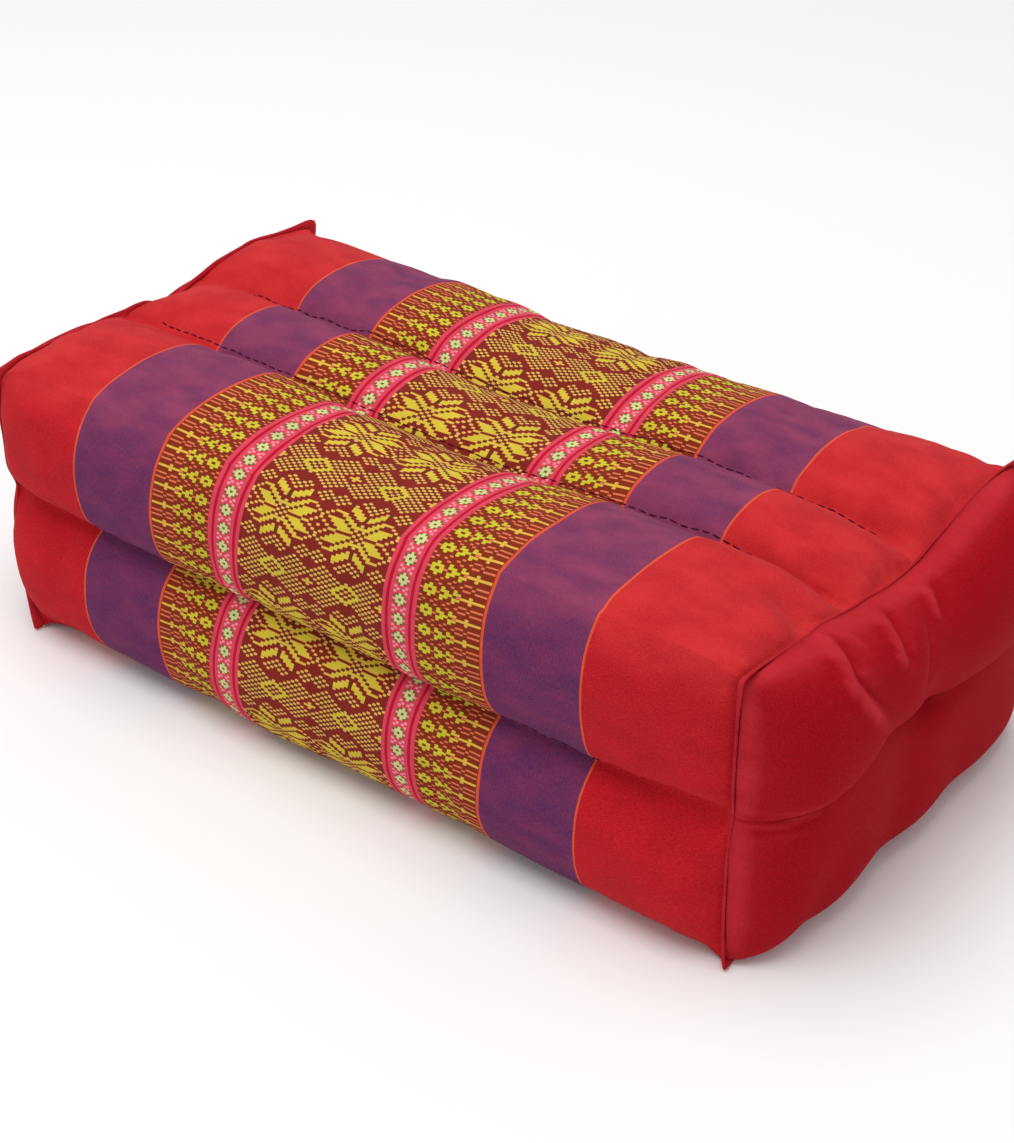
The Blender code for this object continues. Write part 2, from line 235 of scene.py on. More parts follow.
def seam_point(facts, across, up):
    between = max(0.0, 1 - across * across)
    lift = facts["lift"] * between ** facts["lift_power"] - facts["dip"] * hump(across, DIP_REACH)
    top = facts["corner_top"] + lift + float(np.interp(across, *zip(*facts["seam_line"]))) * MM
    bottom = SEAM_BOTTOM + SEAM_ARCH * between
    height = SIDE_STITCH_HEIGHT + up * (top - SIDE_STITCH_HEIGHT if up > 0 else SIDE_STITCH_HEIGHT - bottom)
    lower_corner = (abs(across) * max(0.0, -up)) ** CORNER_POWER
    half_width = SEAM_WIDTH / 2 + SEAM_FLARE * max(0.0, -up) - facts["notch"] * hump(up, NOTCH_REACH)
    half_width += facts["corner_flare"] * lower_corner
    half_length = SEAM_LENGTH / 2 - facts["tuck"] * max(0.0, -up) ** 2 - facts["corner_tuck"] * lower_corner
    drawn = facts["shoulder"] * (max(0.0, across) * max(0.0, up)) ** SHOULDER_POWER
    shoulder = Vector((0, -drawn, -SHOULDER_FALL * drawn))
    return Vector((facts["side"] * half_length, across * half_width, height)) + shoulder


def filled_point(x, across, up):
    """A point of the filled section at a place along the cushion, with its stitched valleys."""
    along = x / (SEAM_LENGTH / 2)
    shoulder = SHOULDER_SQUARENESS + SHOULDER_CHANGE * along
    front = shoulder if up > 0 else FRONT_SQUARENESS
    squareness = BACK_SQUARENESS if across > 0 else front
    half_width = BACK_HALF_WIDTH if across > 0 else FRONT_HALF_WIDTH
    corner = (abs(across) ** squareness + abs(up) ** squareness) ** (-1 / squareness)
    belly = -LOWER_BELLY * max(-1.0, min(1.0, up / BELLY_REACH))
    waist = WAIST * hump(x, WAIST_REACH)
    half_height = (CROWN_TOP - waist - SIDE_STITCH_HEIGHT) if up > 0 else (SIDE_STITCH_HEIGHT + CROWN_DROP)
    y = across * corner * (half_width + belly)
    z = up * corner * half_height
    line = TOP_LINE * half_width
    level_share = abs(up) ** FACE_BLEND_POWER
    upright_share = abs(across) ** FACE_BLEND_POWER
    loose = UNEVENNESS * unevenness(along, math.atan2(up, across))
    rise = FRONT_RISE * (1 + FRONT_RISE_CHANGE * along) * max(0.0, -across) if up > 0 else 0
    dip = TOP_VALLEY_DEPTH * (valley(y - line, TOP_VALLEY_WIDTH) + valley(y + line, TOP_VALLEY_WIDTH))
    dip += TOP_CREASE_DEPTH * (valley(y - line, STITCH_CREASE_WIDTH) + valley(y + line, STITCH_CREASE_WIDTH))
    draw = SIDE_VALLEY_DEPTH * valley(z, SIDE_VALLEY_WIDTH)
    draw += SIDE_CREASE_DEPTH * valley(z, STITCH_CREASE_WIDTH)
    z -= math.copysign(level_share, up) * (dip - loose - rise)
    y -= math.copysign(upright_share, across) * (draw - loose)
    return Vector((x, y, z + SIDE_STITCH_HEIGHT))


def wrap_point(along, across, up):
    facts = ENDS["right" if along > 0 else "left"]
    seam = seam_point(facts, across, up)
    seam.x *= abs(along)
    from_seam = (1 - abs(along)) * SEAM_LENGTH / 2
    below = min(1.0, max(0.0, -up / SWELL_CHANGE))
    length = facts["swell"] + (facts["lower_swell"] - facts["swell"]) * below
    length *= 1 - CORNER_SWELL_CUT * (abs(across) * max(0.0, up)) ** CORNER_SWELL_POWER
    point = seam.lerp(filled_point(seam.x, across, up), swell(from_seam, length))
    point.z = max(0.0, point.z)
    return point


def path_gaps(path, place):
    """The gap from each run of a path to a place, with the depth at the run's nearest point."""
    for (*start, from_depth), (*end, to_depth) in zip(path, path[1:]):
        start = Vector(start)
        run = Vector(end) - start
        reached = max(0.0, min(1.0, (place - start).dot(run) / run.length_squared))
        yield place - start - run * reached, from_depth + (to_depth - from_depth) * reached


def fold_depth(fold, across, up):
    """How deep one fold is at a place on an end."""
    width, sharpness, path = fold
    scale = Vector((SEAM_WIDTH / 2, SIDE_STITCH_HEIGHT)) / MM
    path = [(*(Vector(place) * scale), depth) for *place, depth in path]
    place = Vector((across, up)) * scale
    beside, depth = min((gap.length, depth) for gap, depth in path_gaps(path, place))
    return depth * MM * math.exp(-((beside / width) ** sharpness))


def row_place(facts, across, up):
    """The up of a place on an end, measured from the level crease."""
    level = float(np.interp(across, *zip(*facts["crease"])))
    return (up - level) / (1 - level if up > level else 1 + level)


def end_height(facts, across, up):
    """How far an end stands out past its seam: two rows of swellings with a level crease between."""
    square = max(0.0, 1 - abs(across) ** facts["back_dome" if across > 0 else "front_dome"])
    folds = sum(fold_depth(fold, across, up) for fold in facts["folds"])
    up = row_place(facts, across, up)
    fullness = UPPER_FULLNESS if up > 0 else LOWER_FULLNESS
    row = (square * max(0.0, 1 - abs(2 * abs(up) - 1) ** fullness)) ** facts["slack"]
    bridge = square * max(0.0, 1 - abs(up) ** (2 * fullness)) ** facts["slack"]
    crease = CREASE_SIDE_SHARE + (CREASE_MIDDLE_SHARE - CREASE_SIDE_SHARE) * hump(across, CREASE_REACH)
    upper_share = 1 - MIDDLE_DRAW * hump(across, MIDDLE_REACH)
    share = upper_share if up > 0 else LOWER_SHARE - LOWER_BACK_DRAW * max(0.0, across)
    height = (1 - (1 - share) * row) * (crease * bridge + (1 - crease) * row)
    folded = min(1.0, height / FOLD_FADE)
    return facts["bulge"] * height - folded * folds


def panel_point(facts, across, up):
    """A point of an end of the filling, inside its seam."""
    height = end_height(facts, across, up)
    spread = SPREAD * height / facts["bulge"]
    point = seam_point(facts, across, up)
    point.x += facts["side"] * height
    point.y += math.copysign(spread * abs(across) ** SPREAD_POWER, across)
    point.z += math.copysign(spread * abs(up) ** SPREAD_POWER, up)
    return point


def on_edge(across, up):
    return max(abs(across), abs(up)) > EDGE


def shape_filled(bm):
    """Moves each point of the cut cube to its place on the cushion, and keeps its seams sharp."""
    cube_place = bm.verts.layers.float_vector.new("cube_place")
    sharp = bm.edges.layers.float.new("crease_edge")
    for edge in bm.edges:
        edge[sharp] = float(all(abs(v.co.x) > EDGE and on_edge(*v.co.yz) for v in edge.verts))
    for vert in bm.verts:
        along, across, up = vert.co
        vert[cube_place] = vert.co
        if on_edge(across, up):
            vert.co = wrap_point(along, across, up)
        else:
            facts = ENDS["right" if along > 0 else "left"]
            seam = facts["side"] * SEAM_LENGTH / 2
            vert.co = panel_point(facts, across, up)
            vert.co.x = seam + (vert.co.x - seam) * FILLING_SHARE
            vert.co.z = max(vert.co.z, SEAM_BOTTOM)
        vert.co += MIDDLE_SHIFT


# The wrap's own map: u is millimetres along the cushion, v counts the rows of the woven band. Each channel
# has its own count, because the stitched creases hide some rows.
CHANNEL_ROWS = {
    "upper front": ((29.3, 0), (54.8, 22), (78.3, 44), (100, 66), (122, 88)),
    "upper back": ((2, 0), (24.9, 22), (47, 44)),
    "lower": ((6.5, 0), (28.5, 22), (49, 44)),
    "middle": ((14.0, 22), (39.8, 44)),
}
ROW_TILT = {"upper front": 0.043, "upper back": 0.043, "lower": 0.015, "middle": 0.074}
# How far round the cube each starts, from the middle of the top
CHANNEL_STARTS = {"upper front": TOP_LINE, "upper back": TOP_LINE, "lower": 2}
ARC_STEPS = 120


def channel_of(across, up):
    """Which channel a place on the cube's long faces is in."""
    if abs(up) > EDGE and abs(across) <= TOP_LINE:
        return "middle"
    if up <= 0:
        return "lower"
    return "upper back" if across > 0 else "upper front"


def channel_reach(channel, across, up):
    """How far round the cube a place is from its channel's first line."""
    if channel == "middle":
        return TOP_LINE - across
    level = abs(across) if up > 0 else 4 - abs(across)
    return (2 - up if abs(across) > EDGE else level) - CHANNEL_STARTS[channel]


def channel_place(channel, reach, side, half):
    """The place on the cube at a reach from the channel's first line."""
    if channel == "middle":
        return TOP_LINE - reach, half
    past = reach + CHANNEL_STARTS[channel]
    if past < 1:
        return side * past, 1
    return (side, 2 - past) if past < 3 else (side * (4 - past), -1)


def arc_table(channel, side, half):
    """Reach round the cube against millimetres of cloth at mid length."""
    end = 2 * TOP_LINE if channel == "middle" else 2 - TOP_LINE
    reaches = [end * k / ARC_STEPS for k in range(ARC_STEPS + 1)]
    points = [wrap_point(0, *channel_place(channel, r, side, half)) for r in reaches]
    steps = [0.0] + [(b - a).length / MM for a, b in zip(points, points[1:])]
    return reaches, np.cumsum(steps)


ARCS = {(c, s): arc_table(c, s, s if c == "middle" else 1) for c in CHANNEL_ROWS for s in (-1, 1)}


def row_at(channel, side, reach, x):
    """The woven band's row at a place in a channel."""
    arc = np.interp(reach, *ARCS[channel, side])
    arcs, rows = zip(*CHANNEL_ROWS[channel])
    pitch = (rows[-1] - rows[0]) / (arcs[-1] - arcs[0])
    if arc < arcs[0]:
        row = rows[0] + (arc - arcs[0]) * pitch
    elif arc > arcs[-1]:
        row = rows[-1] + (arc - arcs[-1]) * pitch
    else:
        row = np.interp(arc, arcs, rows)
    return float(row) + ROW_TILT[channel] * x


def map_cloth(bm):
    """Lays the wrap's map on its long faces."""
    cloth = bm.loops.layers.uv.new("cloth")
    cube_place = bm.verts.layers.float_vector["cube_place"]
    for face in bm.faces:
        places = [v[cube_place] for v in face.verts]
        middle = sum((Vector(p) for p in places), Vector()) / len(places)
        if abs(middle.x) > EDGE:
            for loop in face.loops:
                loop[cloth].uv = middle.x * SEAM_LENGTH / 2 / MM, 0
            continue
        channel = channel_of(middle.y, middle.z)
        side = math.copysign(1, middle.z if channel == "middle" else middle.y)
        for loop in face.loops:
            along, across, up = loop.vert[cube_place]
            x = along * SEAM_LENGTH / 2 / MM
            loop[cloth].uv = x, row_at(channel, side, channel_reach(channel, across, up), x)


def add_thing(name, data):
    thing = bpy.data.objects.new(name, data)
    bpy.context.scene.collection.objects.link(thing)
    return thing


def add_piece(name, bm, material):
    mesh = bpy.data.meshes.new(name)
    bm.to_mesh(mesh)
    bm.free()
    mesh.shade_smooth()
    mesh.materials.append(material)
    return add_thing(name, mesh)


def subdivide(piece):
    finer = piece.modifiers.new("finer", "SUBSURF")
    finer.levels = finer.render_levels = 1


# Where the wrap's stripes start and end, in millimetres from its middle. Narrow ones lie on wide ones, and
# the ground that they leave is orange.
STAR_FIELD_EDGE = 35.7
CHAIN_FIELD = (51.1, 79.5)
PINK_STRIPE = (35.7, 51.1)
CRIMSON_STRIPE = (37.3, 49.3)
FLOWER_STRIPE = (38.7, 48.0)
PURPLE_STRIPE = (80.7, 121.2)
RED_START = 122.1

# The charts of the woven band, drawn cell by cell: # is a cell that takes the chart's colour. Rows are
# mirrored at the first and the last, and the columns of stars and flowers at their axis.
STAR_AXIS = 17.57
COLUMN = 1.757
FLOWER_AXIS = 43.4
FLOWER_COLUMN = 1.25
STAR_ROWS = 22.0
CHAIN_ROWS = 4.0
CHAIN_FLOWERS = 9.0  # how many of the chains' columns are flowers
CHAINS_TO_STARS = 48 / 44
CHAIN_START = 1.2

STAR_CHART = """
.#....##..#
#.####..#..
.#.####..#.
###.####..#
#.##.####.#
...##....#.
.#..##..#..
.##..###...
.###.......
..###...#..
#..##..#.#.
.#..#.#.#.#
#.#....#.#.
.#.#....#..
..#...#....
.....#.#...
....#.#.#..
...#.#.#.#.
#.#.#.#.#.#
##.#.#.#.#.
.##.#.#.#..
#.##.#.#..#
.#.##.#..##
""".split()
CHAIN_CHART = """
##.##.##.#######
.###.##.##..#...
..#..#..#.......
#...#..#..##.###
.#.#..#..#..#...
""".split()
CHAIN_YELLOW = """
.#.#..##..######
.###.##.##..#...
..#..#..#.......
................
................
""".split()
FLOWER_LIGHT = """
.#..
##..
#...
....
....
""".split()
# Olive cells of the flowers: the dark middle in the first row, and painted shadow at the floats' ends in the
# next two
FLOWER_DARK_AND_PAINTED_SHADOW = """
#...
..#.
.#..
....
....
""".split()
FLOWER_PALE = """
..#.
....
....
..#.
.#..
""".split()


def colour(red, green, blue):
    """A colour as seen, 0 to 255, made linear."""
    seen = [c / 255 for c in (red, green, blue)]
    return (*[c / 12.92 if c < 0.04 else ((c + 0.055) / 1.055) ** 2.4 for c in seen], 1)


WRAP_COLOURS = {
    "ground": colour(126, 32, 22),
    "ground between": colour(104, 44, 10),
    "chain ground": colour(128, 40, 14),
    "yellow": colour(200, 190, 48),
    "gold": colour(218, 176, 66),
    "peach": colour(230, 172, 88),
    "dull dash": colour(222, 116, 76),
    "pink": colour(214, 64, 88),
    "crimson": colour(178, 10, 38),
    "flower light": colour(200, 208, 140),
    "flower olive": colour(120, 88, 40),
    "flower pale": colour(232, 146, 150),
    "orange": colour(214, 80, 50),
    "purple warm": colour(128, 46, 80),
    "purple blue": colour(80, 38, 92),
    # The paler purple and red are painted sheen: the wrap's top is painted with them in place of the light
    # and sheen that fall on it
    "purple painted sheen": colour(156, 66, 92),
    "red": colour(180, 4, 24),
    "red fleck": colour(192, 26, 34),
    "red painted sheen": colour(204, 56, 54),
}


def new_material(name):
    material = bpy.data.materials.new(name)
    material.use_nodes = True
    return material, material.node_tree


def wire(tree, kind, values, **settings):
    """Adds a node, sets or links its inputs, and returns it."""
    node = tree.nodes.new(kind)
    for name, value in settings.items():
        setattr(node, name, value)
    for key, value in values.items():
        if isinstance(value, bpy.types.NodeSocket):
            tree.links.new(value, node.inputs[key])
        else:
            node.inputs[key].default_value = value
    return node


def reckon(tree, operation, *values):
    return wire(tree, "ShaderNodeMath", dict(enumerate(values)), operation=operation).outputs[0]


def times(tree, *values):
    return reckon(tree, "MULTIPLY", *values)


def minus(tree, *values):
    return reckon(tree, "SUBTRACT", *values)


def dye(tree, share, under, over):
    return wire(tree, "ShaderNodeMix", {0: share, 6: under, 7: over}, data_type="RGBA").outputs[2]


def between(tree, value, low, high):
    above = reckon(tree, "GREATER_THAN", value, low)
    return times(tree, above, reckon(tree, "LESS_THAN", value, high))


def eased_off(tree, value, start, end):
    """1 up to start, falling smoothly to nothing at end."""
    ranged = {"Value": value, "From Min": start, "From Max": end, "To Min": 1.0, "To Max": 0.0}
    return wire(tree, "ShaderNodeMapRange", ranged, interpolation_type="SMOOTHSTEP").outputs[0]


def chart_bits(chart):
    """Each chart row as one number with a bit a column."""
    return [sum(1 << k for k, cell in enumerate(row) if cell == "#") for row in chart]


def chart_channel(tree, row, column, *charts):
    """Reads up to three charts at a row and column, and gives a mask for each."""
    count = len(charts[0])
    width = 1 << max(len(r) for chart in charts for r in chart)
    place = reckon(tree, "DIVIDE", reckon(tree, "ADD", row, 0.5), count)
    ramp = wire(tree, "ShaderNodeValToRGB", {0: place})
    stops = ramp.color_ramp
    stops.interpolation = "CONSTANT"
    stops.elements.remove(stops.elements[1])
    for k, bits in enumerate(zip(*[chart_bits(chart) for chart in charts])):
        stop = stops.elements[0] if k == 0 else stops.elements.new(k / count)
        stop.position = k / count
        values = [b / width for b in bits] + [0] * (3 - len(bits))
        stop.color = (*values, 1)
    parts = wire(tree, "ShaderNodeSeparateColor", {0: ramp.outputs[0]})
    power = reckon(tree, "POWER", 2.0, column)
    masks = []
    for k in range(len(charts)):
        whole = reckon(tree, "ROUND", times(tree, parts.outputs[k], float(width)))
        shifted = reckon(tree, "FLOOR", reckon(tree, "DIVIDE", reckon(tree, "ADD", whole, 0.01), power))
        masks.append(reckon(tree, "FLOORED_MODULO", shifted, 2.0))
    return masks


def picked(chart, keep):
    """A chart of the cells that a rule keeps, from each cell and its neighbours."""
    mirrored = [chart[1], *chart, chart[-2]]
    rows = []
    for above, row, below in zip(mirrored, chart, mirrored[2:]):
        padded = row[1] + row + row[-2]
        cells = zip(row, zip(padded, padded[2:]), zip(above, below))
        rows.append("".join("#" if keep(*cell) else "." for cell in cells))
    return rows


def lit_runs(chart):
    return picked(chart, lambda cell, beside, above: cell == "#" and "#" in beside)


def lit_areas(chart):
    return picked(chart, lambda cell, beside, above: cell == "#" and "#" in beside and "#" in above)


def area_cores(chart):
    return picked(chart, lambda cell, beside, above: cell == "#" and "#" in beside and above == ("#", "#"))


def hemmed_gaps(chart):
    return picked(chart, lambda cell, beside, above: cell == "." and beside == ("#", "#"))


# How close the cloth's unevennesses lie: columns are name, and lumps a millimetre along and across. A row of
# the woven band counts as a millimetre.
THREAD_NOISES = (("Weft", 0.5, 2.6), ("Warp", 2.6, 0.6), ("Slub", 0.06, 0.11), ("Nap", 1.7, 1.9))
NAP_RANGE = (0.38, 0.68)
WEAVE = 0.9  # millimetres to the next thread but one


def spun_threads():
    """Uneven weft along the cloth and warp across it, with slubs, nap and a plain weave."""
    group = bpy.data.node_groups.new("spun_threads", "ShaderNodeTree")
    ways = ("Along", "Across")
    for way in ways:
        group.interface.new_socket(way, in_out="INPUT", socket_type="NodeSocketFloat")
    for name in ("Weft", "Warp", "Slub", "Nap", "Weave"):
        group.interface.new_socket(name, in_out="OUTPUT", socket_type="NodeSocketFloat")
    given = group.nodes.new("NodeGroupInput").outputs
    gives = group.nodes.new("NodeGroupOutput").inputs
    for name, *scales in THREAD_NOISES:
        stretched = [times(group, given[way], scale) for way, scale in zip(ways, scales)]
        place = wire(group, "ShaderNodeCombineXYZ", {"X": stretched[0], "Y": stretched[1]}).outputs[0]
        streaks = {"Vector": place, "Scale": 1.0, "Detail": 2.0}
        noise = wire(group, "ShaderNodeTexNoise", streaks, noise_dimensions="2D").outputs[0]
        if name == "Nap":
            noise = minus(group, 1.0, eased_off(group, noise, *NAP_RANGE))
        group.links.new(noise, gives[name])
    turn = 2 * math.pi / WEAVE
    turns = [reckon(group, "SINE", times(group, given[way], turn)) for way in ways]
    group.links.new(times(group, *turns), gives["Weave"])
    return group


THREADS = spun_threads()


def cloth_map(tree):
    mapped = wire(tree, "ShaderNodeUVMap", {}, uv_map="cloth").outputs[0]
    return wire(tree, "ShaderNodeSeparateXYZ", {0: mapped}).outputs[:2]


def threads_at(tree, along, across):
    places = {"Along": along, "Across": across}
    return wire(tree, "ShaderNodeGroup", places, node_tree=THREADS).outputs


NAP_COLOUR = colour(240, 200, 200)
WRAP_NAP = 0.017  # the strongest share of the nap's colour
PANEL_NAP = 0.007


def napped(tree, cloth, threads, share):
    """The short pale fibres that stand off the threads."""
    return dye(tree, times(tree, threads["Nap"], share), cloth, NAP_COLOUR)


def cloth_finish(tree, base, height, bump_depth):
    """A matte cotton: the nodes that every cloth here ends in."""
    surface = tree.nodes["Principled BSDF"].inputs
    bump = wire(tree, "ShaderNodeBump", {"Strength": 1.0, "Distance": bump_depth, "Height": height})
    tree.links.new(bump.outputs[0], surface["Normal"])
    tree.links.new(base, surface["Base Color"])
    surface["Roughness"].default_value = 0.9
    surface["Specular IOR Level"].default_value = 0.08
    surface["Sheen Weight"].default_value = 0.03
    surface["Sheen Roughness"].default_value = 0.5


FLOAT_THICKNESS = 0.5  # in rows
CHAIN_THICKNESS = 0.40
YELLOW_THICKENING = 0.16
AREA_YELLOW = 0.4  # how yellow the rim of an area is, where its core is 1
WEFT_WEAR = (-0.8, 1.25)  # the uneven weft's part in the yellow, and the even part
PAINTED_SHEEN_ABOVE = (0.7, 1.0)  # where the painted sheen on the top starts and is strongest, as shares of half the height
PAINTED_SHEEN_SHARES = (0.45, 0.14)  # the slubs' part in the painted sheen, and the even part
BLOTCHES = 0.4
PURPLE_RANGE = (0.1, 0.9)  # between which the threads go from one dye to the other
RED_RANGE = (0.15, 0.80)
UNEVEN_DYE = {"From Min": 0.3, "From Max": 0.7, "To Min": 0.94, "To Max": 1.06}
THREAD_RELIEF = (("Weave", 0.12), ("Weft", 0.3), ("Warp", 0.3))  # in floats' heights


def columns_from(tree, place, axis, column):
    """How many columns a place is from the axis of a mirrored chart."""
    return reckon(tree, "DIVIDE", reckon(tree, "ABSOLUTE", minus(tree, place, axis)), column)


def woven_wrap_cloth():
    material, tree = new_material("woven_wrap_cloth")
    dyes = WRAP_COLOURS
    along, rows = cloth_map(tree)
    from_middle = reckon(tree, "ABSOLUTE", along)
    threads = threads_at(tree, along, rows)

    # star field
    column = columns_from(tree, from_middle, STAR_AXIS, COLUMN)
    whole_column = reckon(tree, "ROUND", column)
    row = reckon(tree, "PINGPONG", rows, STAR_ROWS)
    whole_row = reckon(tree, "ROUND", row)
    charts = STAR_CHART, lit_runs(STAR_CHART), lit_areas(STAR_CHART)
    lit, run, area = chart_channel(tree, whole_row, whole_column, *charts)
    charts = hemmed_gaps(STAR_CHART), area_cores(STAR_CHART)
    gap, core = chart_channel(tree, whole_row, whole_column, *charts)
    beside = minus(tree, column, whole_column)
    above = minus(tree, row, whole_row)
    lit = times(tree, lit, woven_float(tree, beside, above, run, area, FLOAT_THICKNESS))
    ground = dye(tree, gap, dyes["ground"], dyes["ground between"])
    yellowness = reckon(tree, "MAXIMUM", core, times(tree, area, AREA_YELLOW))
    worn = reckon(tree, "MULTIPLY_ADD", threads["Weft"], *WEFT_WEAR)
    yellowness = times(tree, yellowness, worn)
    weft = dye(tree, yellowness, dye(tree, run, dyes["peach"], dyes["gold"]), dyes["yellow"])
    stars = dye(tree, lit, ground, weft)
    in_stars = reckon(tree, "LESS_THAN", from_middle, STAR_FIELD_EDGE)

    # chains of the side fields
    column = reckon(tree, "DIVIDE", minus(tree, from_middle, CHAIN_FIELD[0]), COLUMN)
    whole_column = reckon(tree, "FLOOR", column)
    chain_rows = minus(tree, times(tree, rows, CHAINS_TO_STARS), CHAIN_START)
    row = reckon(tree, "PINGPONG", chain_rows, CHAIN_ROWS)
    whole_row = reckon(tree, "ROUND", row)
    charts = CHAIN_CHART, CHAIN_YELLOW, lit_runs(CHAIN_CHART)
    chain_lit, yellow, run = chart_channel(tree, whole_row, whole_column, *charts)
    beside = minus(tree, minus(tree, column, whole_column), 0.5)
    above = minus(tree, row, whole_row)
    thickness = reckon(tree, "MULTIPLY_ADD", yellow, YELLOW_THICKENING, CHAIN_THICKNESS)
    chain_lit = times(tree, chain_lit, woven_float(tree, beside, above, run, 0.0, thickness))
    in_flowers = reckon(tree, "LESS_THAN", column, CHAIN_FLOWERS)
    weft = dye(tree, yellow, dyes["dull dash"], dye(tree, in_flowers, dyes["gold"], dyes["yellow"]))
    chains = dye(tree, chain_lit, dyes["chain ground"], weft)
    in_chains = between(tree, from_middle, *CHAIN_FIELD)

    # flowers of the pink band
    column = columns_from(tree, from_middle, FLOWER_AXIS, FLOWER_COLUMN)
    whole_column = reckon(tree, "ROUND", column)
    charts = FLOWER_LIGHT, FLOWER_DARK_AND_PAINTED_SHADOW, FLOWER_PALE
    light, dark_and_painted_shadow, pale = chart_channel(tree, whole_row, whole_column, *charts)
    flowers = dyes["pink"]
    # the olive dye gives each flower its dark middle and paints shadow beside its floats' ends
    for mask, name in ((dark_and_painted_shadow, "flower olive"), (pale, "flower pale"), (light, "flower light")):
        flowers = dye(tree, mask, flowers, dyes[name])

    # stripes, from the middle outwards
    place_on_cube = wire(tree, "ShaderNodeAttribute", {}, attribute_name="cube_place").outputs["Vector"]
    up = wire(tree, "ShaderNodeSeparateXYZ", {0: place_on_cube}).outputs[2]
    # painted sheen: towards the top the purple and red are painted paler and warmer, standing in for the
    # light and sheen there
    painted_top_sheen = minus(tree, 1.0, eased_off(tree, up, *PAINTED_SHEEN_ABOVE))
    painted_top_sheen = times(tree, painted_top_sheen, reckon(tree, "MULTIPLY_ADD", threads["Slub"], *PAINTED_SHEEN_SHARES))
    blotch = minus(tree, threads["Slub"], 0.5)
    purple_thread = reckon(tree, "MULTIPLY_ADD", blotch, BLOTCHES, threads["Warp"])
    purple_thread = eased_off(tree, purple_thread, *PURPLE_RANGE)
    purple = dye(tree, purple_thread, dyes["purple warm"], dyes["purple blue"])
    purple = dye(tree, painted_top_sheen, purple, dyes["purple painted sheen"])
    red_thread = eased_off(tree, threads["Weft"], *RED_RANGE)
    red = dye(tree, red_thread, dyes["red"], dyes["red fleck"])
    red = dye(tree, painted_top_sheen, red, dyes["red painted sheen"])
    cloth = dye(tree, reckon(tree, "GREATER_THAN", from_middle, RED_START), dyes["orange"], red)
    for stripe, filling in (
        (PINK_STRIPE, dyes["pink"]),
        (CRIMSON_STRIPE, dyes["crimson"]),
        (FLOWER_STRIPE, flowers),
        (PURPLE_STRIPE, purple),
    ):
        cloth = dye(tree, between(tree, from_middle, *stripe), cloth, filling)
    cloth = dye(tree, in_chains, cloth, chains)
    cloth = dye(tree, in_stars, cloth, stars)
    uneven = wire(tree, "ShaderNodeMapRange", {"Value": threads["Slub"], **UNEVEN_DYE}).outputs[0]
    cloth = wire(tree, "ShaderNodeVectorMath", {0: cloth, "Scale": uneven}, operation="SCALE").outputs[0]
    cloth = napped(tree, cloth, threads, WRAP_NAP)

    relief = reckon(tree, "MULTIPLY_ADD", chain_lit, in_chains, times(tree, lit, in_stars))
    for name, share in THREAD_RELIEF:
        relief = reckon(tree, "MULTIPLY_ADD", threads[name], share, relief)
    cloth_finish(tree, cloth, relief, bump_depth=0.25 * MM)
    return material


def woven_float(tree, beside, above, run, area, thickness):
    """One float's rounded shape in its cell. Floats join end to end in a run, and row to row in an area."""
    tall = reckon(tree, "POWER", reckon(tree, "DIVIDE", reckon(tree, "ABSOLUTE", above), thickness), 2.0)
    tall = times(tree, tall, reckon(tree, "MULTIPLY_ADD", area, -0.35, 1.0))
    wide = reckon(tree, "POWER", reckon(tree, "DIVIDE", reckon(tree, "ABSOLUTE", beside), 0.5), 4.0)
    wide = times(tree, wide, minus(tree, 1.0, run))
    return eased_off(tree, reckon(tree, "ADD", tall, wide), 0.6, 1.25)


PRESSURE = 4
CLOTH_GROWTH = 0.025  # share by which the cloth is cut fuller than its filling
PRESS_FRAMES = 20
PRESS_CAP = 4 * MM
PRESS_SHARE = 0.55  # how much of the simulated move is kept
FREE_HOLD = 0.12  # how firmly the filling holds the cloth away from its seams and stitches


def press_out(piece):
    """The filling presses the cloth out between its stitches. The move is capped, and the result is kept."""
    cube_place = piece.data.attributes["cube_place"].data
    held = piece.vertex_groups.new(name="held")
    for k, item in enumerate(cube_place):
        along, across, up = item.vector
        on_top_line = abs(abs(across) - TOP_LINE) < LINE_MATCH and abs(up) > EDGE
        on_line = on_top_line or abs(up) < LINE_MATCH
        on_end = abs(along) > EDGE or not on_edge(across, up)
        held.add([k], 1.0 if on_line or on_end else FREE_HOLD, "REPLACE")
    cloth = piece.modifiers.new("filling_pressure", "CLOTH")
    cloth.settings.quality = 6
    cloth.settings.mass = 0.2
    cloth.settings.use_pressure = True
    cloth.settings.uniform_pressure_force = PRESSURE
    cloth.settings.shrink_min = -CLOTH_GROWTH
    cloth.settings.vertex_group_mass = "held"
    cloth.settings.effector_weights.gravity = 0
    cloth.collision_settings.use_collision = False
    cloth.point_cache.frame_start = 1
    cloth.point_cache.frame_end = PRESS_FRAMES
    scene = bpy.context.scene
    for step in range(1, PRESS_FRAMES + 1):
        scene.frame_set(step)
    pressed = piece.evaluated_get(bpy.context.evaluated_depsgraph_get()).data
    places = np.empty((len(piece.data.vertices), 3), np.float32)
    piece.data.vertices.foreach_get("co", places.ravel())
    moved = np.empty_like(places)
    pressed.vertices.foreach_get("co", moved.ravel())
    move = moved - places
    reach = np.linalg.norm(move, axis=1, keepdims=True)
    places += PRESS_SHARE * move * np.minimum(1, PRESS_CAP / np.maximum(reach, 1e-9))
    places[:, 2] = np.maximum(places[:, 2], 0)
    piece.modifiers.remove(cloth)
    piece.data.vertices.foreach_set("co", places.ravel())
    scene.frame_set(1)


